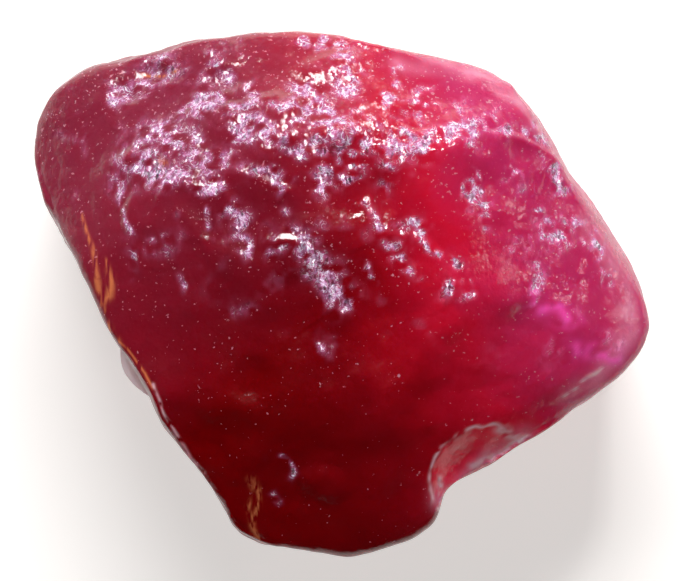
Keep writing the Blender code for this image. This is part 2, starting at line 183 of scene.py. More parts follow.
# frosted bands with painted sparkle: points along each and its half width, where broken ledges scatter the
# light
frostSparkleBands = [
    ([(-2.75, 1.92), (-2.53, 2.09), (-2.17, 2.28), (-1.67, 2.45), (-1.18, 2.50), (-0.68, 2.55)], 0.13),
    ([(-2.80, 1.62), (-2.53, 1.72), (-2.24, 1.62)], 0.22),
    ([(-2.24, 1.60), (-2.04, 1.50), (-1.67, 1.42), (-1.41, 1.21), (-1.29, 0.97), (-1.33, 0.65)], 0.13),
    ([(-2.16, 2.03), (-1.92, 1.89), (-1.71, 1.70)], 0.20),
    ([(-1.26, 1.64), (-1.01, 1.56), (-0.71, 1.39)], 0.07),
    ([(-0.55, 2.58), (-0.51, 2.18), (-0.47, 1.89)], 0.12),
    ([(-0.31, 2.45), (-0.10, 2.24), (0.05, 2.03), (0.14, 1.76)], 0.20),
    ([(-1.30, 2.15), (-0.90, 2.10), (-0.62, 2.00)], 0.14),
    ([(0.40, 1.89), (0.80, 1.93), (1.10, 2.00), (1.45, 2.12), (1.75, 2.22)], 0.20),
    ([(1.75, 2.10), (2.05, 2.15), (2.30, 2.16)], 0.10),
    ([(2.30, 2.15), (2.62, 2.00), (2.85, 1.72), (3.02, 1.42)], 0.15),
    ([(0.40, 1.14), (0.51, 0.90), (0.61, 0.71)], 0.08),
    ([(0.77, 0.84), (1.10, 0.76), (1.37, 0.57), (1.59, 0.24), (1.72, 0.02)], 0.10),
    ([(-0.75, 0.71), (-0.51, 0.71), (-0.31, 0.42), (-0.13, 0.11), (0.05, -0.11)], 0.17),
    ([(-2.81, 1.37), (-2.78, 1.04), (-2.70, 0.64), (-2.66, 0.28)], 0.07),
    ([(-0.11, 1.66), (0.06, 1.42)], 0.09),
    ([(0.71, 0.51), (0.93, 0.24)], 0.07),
    ([(3.08, 0.90), (3.31, 0.71), (3.48, 0.42)], 0.12),
    ([(-0.86, -2.12), (-0.70, -2.26), (-0.60, -2.44)], 0.05),
    ([(-0.98, -2.50), (-0.86, -2.72)], 0.06),
    ([(1.80, 1.20), (1.98, 0.84)], 0.06), ([(1.63, 1.55), (1.79, 1.25)], 0.05),
    ([(1.18, 2.52), (1.38, 2.50)], 0.05), ([(0.30, 0.35), (0.44, 0.10)], 0.04),
    ([(-1.75, 1.05), (-1.62, 0.72)], 0.05), ([(2.62, 1.10), (2.80, 0.92)], 0.06),
]
# frosted tufts with painted sparkle: middle and radius
frostSparkleTufts = [
    ((-2.40, 3.00), 0.26), ((-1.55, 2.91), 0.24), ((-2.81, 2.73), 0.14), ((0.36, 2.30), 0.16),
    ((-2.28, 0.68), 0.13), ((-1.26, -0.30), 0.11), ((-0.23, -0.64), 0.09), ((1.96, 2.33), 0.14),
    ((1.43, 0.11), 0.13), ((1.01, 0.77), 0.13), ((0.04, 3.04), 0.22),
    ((-0.18, 1.44), 0.14), ((1.23, 0.89), 0.07), ((0.77, 2.92), 0.08), ((2.20, 1.45), 0.08),
    ((-0.62, 1.12), 0.07), ((0.11, 2.71), 0.20), ((1.76, 1.23), 0.10), ((2.36, 0.51), 0.16),
    ((2.88, 0.77), 0.16), ((0.82, 2.55), 0.16), ((-0.94, 2.09), 0.18), ((-1.95, 0.15), 0.10),
    ((0.55, 1.55), 0.14),
]
# how the frost frays and breaks up, and the loose flecks over the upper half and the flanks
frostSparkleSpread = {
    "stray": 0.22, "straySize": 0.35, "breakSize": 0.14,
    "fleckSizes": (0.45, 0.2), "fleckMost": 0.8,
    "flankSizes": (0.8, 0.3), "flankMost": 0.28,
}


def easeIn(value, low, high):  # 0 below low, 1 above high, a smooth S between
    share = np.clip((value - low) / (high - low), 0, 1)
    return share * share * (3 - 2 * share)


def gradientNoise(points, size, seed):  # a random slope at each lattice corner, blended over the cell
    rng = np.random.default_rng(seed)
    slopes = rng.normal(size=(256, 3))
    order = rng.permutation(256)
    place = points / (size * mm)
    cell = np.floor(place).astype(int)
    part = place - cell
    ease = part**3 * (part * (part * 6 - 15) + 10)
    total = np.zeros(len(points))
    for corner in itertools.product((0, 1), repeat=3):
        i, j, k = (cell + corner).T
        key = order[(order[(order[i % 256] + j) % 256] + k) % 256]
        weight = np.where(corner, ease, 1 - ease).prod(axis=1)
        total += weight * (slopes[key] * (part - corner)).sum(axis=1)
    return total


def twoNoises(points, sizes, seed):  # coarse noise and half as much fine noise
    return gradientNoise(points, sizes[0], seed) + 0.5 * gradientNoise(points, sizes[1], seed + 1)


def outlineTable(blur):  # radius on 720 bearings where each ray crosses a side, blurred round the circle
    corners = np.array(rubyOutline) * mm
    bearings = np.linspace(-math.pi, math.pi, 721)[:-1]
    rays = np.stack([np.cos(bearings), np.sin(bearings)], axis=1)
    radii = np.zeros(len(bearings))
    for start, end in zip(corners, np.roll(corners, -1, axis=0)):
        side = end - start
        across = rays[:, 0] * side[1] - rays[:, 1] * side[0]
        distance = (start[0] * side[1] - start[1] * side[0]) / across
        along = (rays * distance[:, None] - start) @ side / (side @ side)
        hit = (distance > 0) & (along >= -1e-6) & (along <= 1 + 1e-6)
        radii[hit] = distance[hit]
    weights = np.exp(-0.5 * (bearings / math.radians(blur)) ** 2)
    spectrum = np.fft.rfft(radii) * np.fft.rfft(np.fft.ifftshift(weights / weights.sum()))
    return bearings, np.fft.irfft(spectrum, len(radii))


def softMost(distances, rounding):  # log of the summed exponentials: the largest, eased where two are close
    stack = np.array(distances)
    most = stack.max(axis=0)
    return most + rounding * mm * np.log(np.exp((stack - most) / (rounding * mm)).sum(axis=0))


def beyondFace(points, face):  # height above the face's plane, over the length of its normal
    (px, py, pz), (riseX, riseY) = face
    x, y, z = points.T
    over = z - pz * mm - riseX * (x - px * mm) - riseY * (y - py * mm)
    return over / math.sqrt(1 + riseX**2 + riseY**2)


def topHeight(x, y):  # the lowest of the planes above
    return np.min([pz * mm + riseX * (x - px * mm) + riseY * (y - py * mm)
                   for (px, py, pz), (riseX, riseY) in facesAbove.values()], axis=0)


def beyondWall(points):  # plan radius less the outline's, which softens and draws in below the top faces
    x, y, z = points.T
    bearing = np.arctan2(y, x)
    fall = np.clip((topHeight(x, y) - z) / (rubyForm["rimHeight"] * mm), 0, 1.2)
    sharp = np.interp(bearing, *sharpOutline, period=2 * math.pi)
    soft = np.minimum(np.interp(bearing, *softOutline, period=2 * math.pi), sharp)
    radius = sharp + (soft - sharp) * np.minimum(fall, 1)
    return np.hypot(x, y) - radius * (1 - rubyForm["wallDraft"] * fall - rubyForm["wallCurve"] * fall**2)


def chipAcross(points):  # plan distance from the chip's middle, roughened by noise, as a share of its reach
    middle = np.array(chip["mouth"][0][:2]) * mm
    stray = chip["wander"] * mm * twoNoises(points, chip["wanderSizes"], 5)
    return (np.linalg.norm(points[:, :2] - middle, axis=1) + stray) / (chip["reach"] * mm)


def beyondChip(points):  # height over the mouth's plane plus the dish, its depth times one less reach squared
    return beyondFace(points, chip["mouth"]) + chip["depth"] * mm * (1 - chipAcross(points)**2)


def beyondLump(points):  # most of: above the top faces, below the under faces, beyond the wall
    above = softMost([beyondFace(points, face) for face in facesAbove.values()], rubyForm["faceRounding"])
    below = softMost([-beyondFace(points, face) for face in facesBelow.values()], rubyForm["faceRounding"])
    return softMost([above, below, beyondWall(points)], rubyForm["edgeRounding"])


def outside(points):  # beyond the lump or above the chip's dish
    return softMost([beyondLump(points), beyondChip(points)], rubyForm["faceRounding"] / 4)


def pushedOut(origin, directions):  # halves the span between inside and outside until it meets the skin
    near = np.full(len(directions), rubyForm["nearest"] * mm)
    far = np.full(len(directions), rubyForm["farthest"] * mm)
    for _ in range(rubyForm["halvings"]):
        middle = (near + far) / 2
        isOut = outside(origin + directions * middle[:, None]) > 0
        near = np.where(isOut, near, middle)
        far = np.where(isOut, middle, far)
    return origin + directions * near[:, None]


def normalsAt(points):  # slope of outside() along X, Y and Z, made one long
    nudge = 0.002 * mm
    slope = np.stack([outside(points + nudge * axis) - outside(points - nudge * axis)
                      for axis in np.eye(3)], axis=1)
    return slope / np.linalg.norm(slope, axis=1)[:, None]


def ledgeParts(plan, ledge):  # signed distance from the line of the step, and distance past its ends
    corners = np.array(ledge[0]) * mm
    nearest = np.full(len(plan), np.inf)
    side = np.zeros(len(plan))
    pastEnd = np.zeros(len(plan))
    for number, (start, end) in enumerate(zip(corners[:-1], corners[1:])):
        along = (plan - start) @ (end - start) / ((end - start) @ (end - start))
        gap = plan - start - np.clip(along, 0, 1)[:, None] * (end - start)
        distance = np.linalg.norm(gap, axis=1)
        cross = (end - start)[0] * (plan - start)[:, 1] - (end - start)[1] * (plan - start)[:, 0]
        beyond = ((along < 0) & (number == 0)) | ((along > 1) & (number == len(corners) - 2))
        aside = np.where(beyond, cross / np.linalg.norm(end - start), np.sign(cross) * distance)
        closer = distance < nearest
        nearest = np.where(closer, distance, nearest)
        side = np.where(closer, aside, side)
        pastEnd = np.where(closer, np.where(beyond, distance, 0), pastEnd)
    return side, pastEnd


def ledgeHeight(plan, ledge):  # a smooth riser along the line, decaying behind it and past its ends
    side, pastEnd = ledgeParts(plan, ledge)
    riser = easeIn(side, -rubySurface["ledgeRiser"] * mm, rubySurface["ledgeRiser"] * mm)
    behind = np.exp(-np.clip(side, 0, None) / (ledge[2] * mm))
    return ledge[1] * mm * riser * behind * (1 - easeIn(pastEnd, 0, rubySurface["ledgeEnd"] * mm))


def skirtHeight(plan, height):  # full along an oval at the left foot, gone above its top
    x, y = (plan - np.array(skirt["middle"]) * mm).T / mm
    bearing = math.radians(skirt["bearing"])
    along = x * math.cos(bearing) + y * math.sin(bearing)
    across = y * math.cos(bearing) - x * math.sin(bearing)
    reach = np.hypot(along / skirt["halfLength"], across / skirt["halfWidth"])
    belowTop = 1 - easeIn(height, (skirt["top"] - skirt["fadesOver"]) * mm, skirt["top"] * mm)
    return skirt["standsOut"] * mm * (1 - easeIn(reach, skirt["fullTo"], skirt["goneBy"])) * belowTop


def hollowDepth(points):  # bowls that deepen as one less the reach squared, and the deepest where they meet
    deepest = np.zeros(len(points))
    for centre, radius, depth in brokenHollows:
        reach = np.linalg.norm(points - np.array(centre) * mm, axis=1) / (radius * mm)
        deepest = np.maximum(deepest, depth * mm * np.clip(1 - reach**2, 0, None))
    return deepest


def partingHeight(points, normals):  # a saw tooth up the flanks, tilted, wavy and patchy
    tiltX, tiltY = rubySurface["partingTilt"]
    tilted = points[:, 2] + tiltX * points[:, 0] + tiltY * points[:, 1]
    wave = rubySurface["partingWave"] * mm * gradientNoise(points, rubySurface["partingWaveSize"], 7)
    saw = ((tilted + wave) / (rubySurface["partingSpacing"] * mm)) % 1
    rise = rubySurface["partingRise"]
    step = np.minimum(saw / rise, (1 - saw) / (1 - rise))
    patchy = easeIn(gradientNoise(points, rubySurface["partingPatch"], 8), -0.15, 0.35)
    steep = 1 - easeIn(np.abs(normals[:, 2]), 0.35, 0.75)
    return rubySurface["partingStep"] * mm * step * patchy * steep


def relief(points, normals):  # sum of ledges, pits, skirt, parting steps and lumps, along the normal
    wander = [gradientNoise(points, rubySurface["wanderSize"], seed) for seed in (11, 12)]
    plan = points[:, :2] + rubySurface["wander"] * mm * np.stack(wander, axis=1)
    broken = easeIn(gradientNoise(points, rubySurface["breakSize"], 13), -0.9, 0.5)
    raised = broken * sum(ledgeHeight(plan, ledge) for ledge in growthLedges)
    for middle, halves, depth in growthPits:
        reach = np.linalg.norm((plan - np.array(middle) * mm) / (np.array(halves) * mm), axis=1)
        raised = raised - depth * mm * (1 - easeIn(reach, 0.3, 1.2))
    raised = raised * easeIn(normals[:, 2], 0.15, 0.45)
    raised += skirtHeight(plan, points[:, 2])
    raised -= hollowDepth(np.column_stack([plan, points[:, 2]]))
    raised += partingHeight(points, normals)
    lumpy = sum(height * mm * gradientNoise(points, size, seed)
                for size, height, seed in rubySurface["lumps"])
    return raised + lumpy * (0.45 + 0.55 * np.abs(normals[:, 2]))      # lower on the flanks


def distanceTo(plan, way):  # plan distance to the nearest point of a line of points
    corners = np.array(way) * mm
    nearest = np.full(len(plan), np.inf)
    for start, end in zip(corners[:-1], corners[1:]):
        along = np.clip((plan - start) @ (end - start) / ((end - start) @ (end - start)), 0, 1)
        nearest = np.minimum(nearest, np.linalg.norm(plan - start - along[:, None] * (end - start), axis=1))
    return nearest


def alongWays(plan, ways):  # the highest of the bell curves round the lines
    return np.max([np.exp(-(distanceTo(plan, way) / (halfWidth * mm)) ** 2)
                   for way, halfWidth in ways], axis=0)


def strayed(points, size, reach, seed):  # plan places, each moved by noise
    stray = [gradientNoise(points, size, seed + way) for way in (0, 1)]
    return points[:, :2] + reach * mm * np.stack(stray, axis=1)


def frostSparkleShare(points, normals):  # bell curves round bands and tufts, frayed and broken up by noise: the frost and its painted sparkle
    plan = strayed(points, frostSparkleSpread["straySize"], frostSparkleSpread["stray"], 41)
    share = alongWays(plan, frostSparkleBands)
    for middle, radius in frostSparkleTufts:
        reach = np.linalg.norm(plan - np.array(middle) * mm, axis=1) / (radius * mm)
        share = np.maximum(share, np.exp(-reach**2))
    upper = easeIn(points[:, 1] + 0.3 * points[:, 0], -1.0 * mm, 1.6 * mm)
    flecks = easeIn(twoNoises(points, frostSparkleSpread["fleckSizes"], 45), 0.25, 0.75)
    share = np.maximum(share, frostSparkleSpread["fleckMost"] * flecks * upper)
    broken = easeIn(gradientNoise(points, frostSparkleSpread["breakSize"], 43), -0.45, 0.25)
    facesUp = easeIn(normals[:, 2], 0.1, 0.4)
    flankFlecks = easeIn(twoNoises(points, frostSparkleSpread["flankSizes"], 47), 0.0, 0.7)
    return broken * (share * facesUp + frostSparkleSpread["flankMost"] * flankFlecks * (1 - facesUp))


# iron stains in ochre along the left edge and near the foot, and thin clear edges that look pale, with a
# painted highlight along them
ironStains = [
    ([(-3.38, 1.04), (-3.28, 0.71), (-3.18, 0.42), (-3.15, 0.20)], 0.030),
    ([(-3.17, 0.14), (-3.14, -0.15), (-3.06, -0.38), (-2.94, -0.59)], 0.060),
    ([(-3.03, 0.42), (-3.00, 0.18), (-3.02, -0.05), (-3.11, -0.19)], 0.045),
    ([(-2.94, -0.59), (-2.80, -0.72), (-2.69, -0.88), (-2.53, -1.04), (-2.48, -1.21)], 0.024),
    ([(-1.17, -2.44), (-1.10, -2.62), (-1.19, -2.83), (-1.14, -3.02)], 0.040),
    ([(-1.08, -2.58), (-1.07, -2.88), (-1.15, -3.08), (-1.05, -3.29)], 0.036),
    ([(-2.62, 2.93), (-2.36, 2.90), (-2.12, 2.97)], 0.025),
    ([(-2.34, 1.73), (-2.20, 1.70)], 0.035),
]
paleEdges = [
    ([(-2.48, -1.21), (-2.36, -1.54), (-2.16, -1.91), (-1.97, -2.20), (-1.76, -2.38)], 0.024),
    ([(2.98, -1.34), (3.28, -1.06), (3.44, -0.98)], 0.026),
    ([(1.78, -2.30), (2.12, -2.13), (2.46, -1.92)], 0.045),
    ([(2.12, -1.79), (2.34, -1.90)], 0.070),
    ([(1.30, -2.45), (1.38, -2.85)], 0.040),
]
# thin rims with painted light shining through, and flaws inside with painted light thrown back: points and
# half width
litRims = [
    ([(3.30, 1.05), (3.62, 0.50), (3.83, 0.02), (3.86, -0.45), (3.66, -0.85), (3.30, -1.20),
      (3.05, -1.38)], 0.15),
    ([(2.75, 2.05), (2.40, 2.50), (1.95, 2.80), (1.40, 2.96), (0.80, 3.05)], 0.09),
    ([(1.35, -2.70), (1.70, -2.45), (2.10, -2.15), (2.45, -1.98)], 0.16),
]
litFlaws = [
    ([(2.68, -0.20), (2.84, -0.22), (3.02, -0.34)], 0.130),
    ([(3.14, -0.72), (3.38, -0.78), (3.66, -0.84)], 0.110),
    ([(2.55, -0.10), (2.60, 0.05)], 0.070),
]
# over what distance each kind of line strays and how far, and the size of the patches it fades in
markStray = {"stain": (0.40, 0.06), "lit": (0.50, 0.07), "flaw": (0.25, 0.10), "pale": (0.30, 0.04)}
markPatch = {"stain": 0.12, "lit": 0.30, "flaw": 0.15, "pale": 0.10, "chipRim": 0.12}


def onTop(points, normals):  # 1 where the skin faces up, 0 low on the flanks
    return easeIn(points[:, 2], 2.4 * mm, 3.0 * mm) * easeIn(normals[:, 2], 0.2, 0.5)


def stainShare(points, normals):  # narrow bell curves along the stains, thinned by noise drawn out along Y
    share = alongWays(strayed(points, *markStray["stain"], 51), ironStains)
    drawn = points * np.array([1, 0.3, 0.6])
    nearTop = easeIn(points[:, 2], 2.2 * mm, 2.9 * mm)
    return share * easeIn(gradientNoise(drawn, markPatch["stain"], 53), -0.55, 0.1) * nearTop


def chipShare(points, normals):  # 1 well inside the chip's mouth, 0 outside it
    return (1 - easeIn(chipAcross(points), 0.85, 1.05)) * onTop(points, normals)


def litShare(points, normals):  # a soft band of painted light along the thin rims
    share = alongWays(strayed(points, *markStray["lit"], 61), litRims)
    return share * (0.7 + 0.5 * gradientNoise(points, markPatch["lit"], 63)) * onTop(points, normals)


def flawGlowShare(points, normals):  # short streaks of painted light thrown back by flaws, frayed
    share = alongWays(strayed(points, *markStray["flaw"], 65), litFlaws)
    return share * easeIn(gradientNoise(points, markPatch["flaw"], 67), -0.9, 0.4) * onTop(points, normals)


def paleShare(points, normals):  # painted highlight on the thin edges and the chip's rim, painted light on the skirt
    share = alongWays(strayed(points, *markStray["pale"], 55), paleEdges)
    share *= easeIn(gradientNoise(points, markPatch["pale"], 59), -0.5, 0.1) * onTop(points, normals)
    chipRim = np.exp(-((chipAcross(points) - 1) * chip["reach"] / chip["rimWidth"]) ** 2)
    chipRim *= easeIn(gradientNoise(points, markPatch["chipRim"], 57), -0.45, 0.15) * onTop(points, normals)
    standsOut = skirt["standsOut"] * mm
    inSkirt = easeIn(skirtHeight(points[:, :2], points[:, 2]), 0.25 * standsOut, 0.8 * standsOut)
    return np.max([share, chipRim, inSkirt], axis=0)


def fineRelief(points, normals, frost):  # dimples, creases in frost where noise passes nought, flank striae
    dimpled = sum(height * mm * gradientNoise(points, size, seed)
                  for size, height, seed in rubySurface["dimples"])
    creased = sum(height * mm * (0.25 - np.abs(gradientNoise(points, size, seed)))
                  for size, height, seed in rubySurface["crinkles"])
    wave = rubySurface["striaWave"] * mm * gradientNoise(points, rubySurface["striaWaveSize"], 25)
    level = points[:, 2] + rubySurface["striaTilt"] * points[:, 0] + wave
    striae = np.abs((level / (rubySurface["striaSpacing"] * mm)) % 1 - 0.5) * rubySurface["striaHeight"] * mm
    onFlank = 1 - easeIn(normals[:, 2], 0.3, 0.7)
    onFlank *= easeIn(gradientNoise(points, rubySurface["striaPatch"], 26), -0.3, 0.4)
    return dimpled + creased * frost + striae * onFlank


def capTargets():  # a square grid drawn to a disc, then out to the rim on every bearing
    share = np.linspace(-1, 1, rubyForm["capAcross"] + 1)
    u, v = np.meshgrid(share, share, indexing="xy")
    discX, discY = (u * np.sqrt(1 - v**2 / 2)).ravel(), (v * np.sqrt(1 - u**2 / 2)).ravel()
    reach = np.interp(np.arctan2(discY, discX), *sharpOutline, period=2 * math.pi) - rubyForm["rimHalf"] * mm
    return np.column_stack([discX * reach, discY * reach, topHeight(discX * reach, discY * reach)])


def capEdge():  # the grid's border points, anticlockwise, as indices
    across = rubyForm["capAcross"]
    run = np.arange(across)
    row = across + 1
    return np.concatenate([run, run * row + across, across * row + across - run, (across - run) * row])


def bandTargets(edge):  # rows from the cap's edge to the rim, to just below it, and down to the base
    bearing = np.arctan2(edge[:, 1], edge[:, 0])
    plan = np.stack([np.cos(bearing), np.sin(bearing), np.zeros_like(bearing)], axis=1)
    rim = plan * np.interp(bearing, *sharpOutline, period=2 * math.pi)[:, None]
    rim[:, 2] = topHeight(rim[:, 0], rim[:, 1])
    under = rim - np.array([0, 0, rubyForm["rimHalf"] * mm])
    foot = pushedOut(np.zeros(3), plan)
    rimShare = np.arange(1, rubyForm["rimRows"] / 2 + 1)[:, None, None] / (rubyForm["rimRows"] / 2)
    wallShare = np.arange(1, rubyForm["wallRows"] + 1)[:, None, None] / rubyForm["wallRows"]
    return np.concatenate([start + (end - start) * share for start, end, share in
                           ((edge, rim, rimShare), (rim, under, rimShare), (under, foot, wallShare))])


def rubyFaces():  # squares of the cap, squares of the band below it, one flat face for the base
    across, rows = rubyForm["capAcross"], rubyForm["rimRows"] + rubyForm["wallRows"]
    number = np.arange((across + 1) ** 2).reshape(across + 1, across + 1)
    capFaces = np.stack([number[:-1, :-1], number[:-1, 1:], number[1:, 1:], number[1:, :-1]], axis=-1)
    ring = np.arange(rows * 4 * across).reshape(rows, 4 * across) + number.size
    ring = np.vstack([capEdge(), ring])
    after = np.roll(ring, -1, axis=1)
    bandFaces = np.stack([ring[:-1], ring[1:], after[1:], after[:-1]], axis=-1)
    return np.concatenate([capFaces.reshape(-1, 4), bandFaces.reshape(-1, 4)]), ring[-1]


def rubySkin():  # the layout's places are pushed out to the form, marked, and moved along their normals
    heart = np.array([0, 0, rubyForm["heartHeight"] * mm])
    cap = capTargets()
    targets = np.concatenate([cap, bandTargets(cap[capEdge()]).reshape(-1, 3)]) - heart
    points = pushedOut(heart, targets / np.linalg.norm(targets, axis=1)[:, None])
    normals = normalsAt(points)
    frost = frostSparkleShare(points, normals)
    marks = {"frost": frost, "stain": stainShare(points, normals), "pale": paleShare(points, normals),
             "lit": litShare(points, normals), "flaw": flawGlowShare(points, normals),
             "chipped": chipShare(points, normals), "flank": 1 - easeIn(normals[:, 2], 0.1, 0.5)}
    points += normals * (relief(points, normals) + fineRelief(points, normals, frost))[:, None]
    points[:, 2] = np.maximum(points[:, 2], 0)
    points[-4 * rubyForm["capAcross"]:, 2] = 0
    return points, marks


sharpOutline = outlineTable(rubyForm["cornerBlur"])
softOutline = outlineTable(rubyForm["wallBlur"])


def fitInside(points, box):  # slides the skin to the box's middle and shrinks it where it would stand out
    low, high = np.array(box[0]), np.array(box[1])
    middle = (points[:, :2].min(axis=0) + points[:, :2].max(axis=0)) / 2
    points[:, :2] += (low + high)[:2] / 2 - middle
    share = np.minimum(1, (high - low) / (points.max(axis=0) - points.min(axis=0)) * rubyForm["boxShare"])
    return points * share


def makeRuby():  # one closed mesh that carries its marks as attributes
    points, marks = rubySkin()
    points = fitInside(points, cadBox)
    quads, base = rubyFaces()
    mesh = bpy.data.meshes.new("rubyCrystal")
    mesh.from_pydata(points, [], quads.tolist() + [base.tolist()[::-1]])
    mesh.shade_smooth()
    mesh.set_sharp_from_angle(angle=math.radians(rubyForm["sharpAngle"]))
    for name, share in marks.items():
        mesh.attributes.new(name, "FLOAT", "POINT").data.foreach_set("value", share.astype(np.float32))
    piece = bpy.data.objects.new("rubyCrystal", mesh)
    bpy.context.scene.collection.objects.link(piece)
    return piece


ruby = makeRuby()
print("ruby skin made")


# uncut ruby: corundum tinted by chromium; its skin is a natural growth face, etched and worn in gravel,
# so the eye gets a deep red glow under a wet-looking shine, and white frost where the ledges are crushed, its
# whites partly painted sparkle
rubyLook = {      # lengths in mm
    "tints": [(0.00, "#8c0209"), (0.22, "#84040d"), (0.42, "#8e0716"), (0.58, "#b20b20"),
              (0.78, "#e61a40"), (1.00, "#de3474")],     # from the dark lower left to the pink upper right, partly painted light and shade
    "tintLightAndShadeAlong": (0.190, 0.080, 0.10),           # share of the tints gained per mm along X, Y and Z; partly colour zoning, partly painted light to the right and up and painted shade low on the flanks
    "tintMiddle": 0.48, "tintTop": 3.6,          # the share at the middle, and the height that it is for; below that height the flanks darken as painted shade
    "cloud": 1.9, "cloudSweep": 0.34,            # soft patches, and the share of the tints they sweep
    "mottle": 0.42, "mottleSweep": 0.14,
    "paintedVeil": "#b03c60", "paintedVeilMost": 0.5, "paintedVeilAcross": 5,     # painted reflection: a duller violet veil that gathers in the upper left
    "chipped": "#ff2048", "chippedMost": 1.0,    # fresh, unclouded red in the chip, brightened as painted light where the dish faces away from the lamps
    "lit": "#f78cb0",                            # painted light through the thin rims
    "flaw": "#ff5cc0", "flawGlowMost": 0.75, "flawCloud": 0.6,   # painted light thrown back by flaws inside
    "dustGlint": "#f0a0b4", "dustGlintMost": 0.8, "dustGlintGrain": 0.05,   # pinprick inclusions just under the skin, partly painted glints
    "dustGlintFrom": 0.835, "dustGlintTo": 0.90, "dustGlintMottle": 0.3, "dustGlintAlong": (0.003, 0.016),
    "pale": "#ffd0dc",                           # clear, broken edges, partly a painted highlight along them
    "ochre": "#c46c44",                          # iron stain, in streaks along the edge
    "streak": 0.055, "streakTurn": -14, "streakStretch": (1, 0.16, 0.5),
    "streakFrom": 0.38, "streakTo": 0.54,
    "filmAndSheen": "#c884b8", "filmAndSheenMost": 0.58,         # the thin clouded skin that the frost's grains sit on, partly a painted sheen
    # the frost's whites: partly frosted skin, partly painted sparkle
    "frostSparkleTints": [(0.0, "#a44a7a"), (0.35, "#c08cb4"), (0.7, "#e0cce4"), (1.0, "#fcf8ff")],
    "crumb": 0.050, "crumbSpread": 3.4, "crumbLift": 1.1,    # the frost's grains, partly painted sparkle, and their contrast
    "frostSparkleFrom": 0.70, "frostSparkleTo": 0.94, "frostSparkleMost": 0.82,
    "thread": "#fbeeff", "threadSize": 0.11,     # fine cracks in the frost, partly painted glint lines
    "threadWidth": 0.022, "threadFrom": 0.20, "threadTo": 0.70,
    "ior": 1.77, "transmission": 0.45, "specular": 0.26,
    "roughness": 0.12, "wornRoughness": 0.26, "wornFrom": 0.42, "wornTo": 0.68,
    "flankRoughness": 0.16,                      # added where the skin is steep
    "subsurface": 0.5, "subsurfaceReach": 0.6, "subsurfaceShares": (1.0, 0.12, 0.2),
    "absorb": "#f01030", "absorbDensity": 900,   # colour soaked up inside, per metre
    "grain": 0.09, "grainHeight": 0.008,
    "facet": 0.034, "facetStretch": (1.0, 0.55, 1.0),        # chatter facets
    "facetTilt": 1.3, "facetLeast": 0.06,        # how far they tilt in the frost, and outside it
}


def linear(hexColour):  # sRGB hex to linear RGBA
    parts = [int(hexColour[i:i + 2], 16) / 255 for i in (1, 3, 5)]
    return [p / 12.92 if p <= 0.04045 else ((p + 0.055) / 1.055) ** 2.4 for p in parts] + [1]


def addNode(tree, kind, inputs=None, **settings):  # a (node, socket) pair is linked, any other value is set
    node = tree.nodes.new(kind)
    for name, value in settings.items():
        setattr(node, name, value)
    for name, value in (inputs or {}).items():
        if isinstance(value, tuple) and isinstance(value[0], bpy.types.Node):
            tree.links.new(value[0].outputs[value[1]], node.inputs[name])
        else:
            node.inputs[name].default_value = value
    return node


def setRamp(node, stops):
    elements = node.color_ramp.elements
    while len(elements) < len(stops):
        elements.new(0.5)
    for element, (position, hexColour) in zip(elements, stops):
        element.position = position
        element.color = linear(hexColour)


def tintLightAndShadeNodes(tree, place, across, mottle):  # a slope along X, Y and Z plus cloud and mottle picks the tint; the slope is partly painted light and shade
    look = rubyLook
    alongX, alongY, alongZ = look["tintLightAndShadeAlong"]
    sweep = look["cloudSweep"] + look["mottleSweep"]
    cloud = addNode(tree, "ShaderNodeTexNoise", {
        "Vector": (place, "Object"), "Scale": 1 / (look["cloud"] * mm), "Detail": 3.0, "Distortion": 0.6})
    level = addNode(tree, "ShaderNodeMath", {0: (across, "Z"), 1: look["tintTop"] * mm}, operation="MINIMUM")
    share = addNode(tree, "ShaderNodeMath", {
        0: (level, "Value"), 1: alongZ / mm, 2: look["tintMiddle"] - sweep / 2 - alongZ * look["tintTop"]},
        operation="MULTIPLY_ADD")
    for source, socket, gain in ((across, "X", alongX / mm), (across, "Y", alongY / mm),
                                 (cloud, "Fac", look["cloudSweep"]), (mottle, "Fac", look["mottleSweep"])):
        share = addNode(tree, "ShaderNodeMath", {0: (source, socket), 1: gain, 2: (share, "Value")},
                        operation="MULTIPLY_ADD")
    ramp = addNode(tree, "ShaderNodeValToRGB", {"Fac": (share, "Value")})
    setRamp(ramp, look["tints"])
    return ramp


def dustGlintNodes(tree, place, across, mottle):  # peaks of a fine noise, more of them where the mottle is high: inclusions and painted glints
    look = rubyLook
    dustGlintX, dustGlintY = look["dustGlintAlong"]
    specks = addNode(tree, "ShaderNodeTexNoise", {
        "Vector": (place, "Object"), "Scale": 1 / (look["dustGlintGrain"] * mm), "Detail": 2.0})
    specks = addNode(tree, "ShaderNodeMath", {
        0: (mottle, "Fac"), 1: look["dustGlintMottle"], 2: (specks, "Fac")}, operation="MULTIPLY_ADD")
    for axis, gain in (("Y", dustGlintY / mm), ("X", dustGlintX / mm)):
        specks = addNode(tree, "ShaderNodeMath", {0: (across, axis), 1: gain, 2: (specks, "Value")},
                         operation="MULTIPLY_ADD")
    return addNode(tree, "ShaderNodeMapRange", {
        "Value": (specks, "Value"), "From Min": look["dustGlintFrom"], "From Max": look["dustGlintTo"],
        "To Min": 0.0, "To Max": look["dustGlintMost"]})


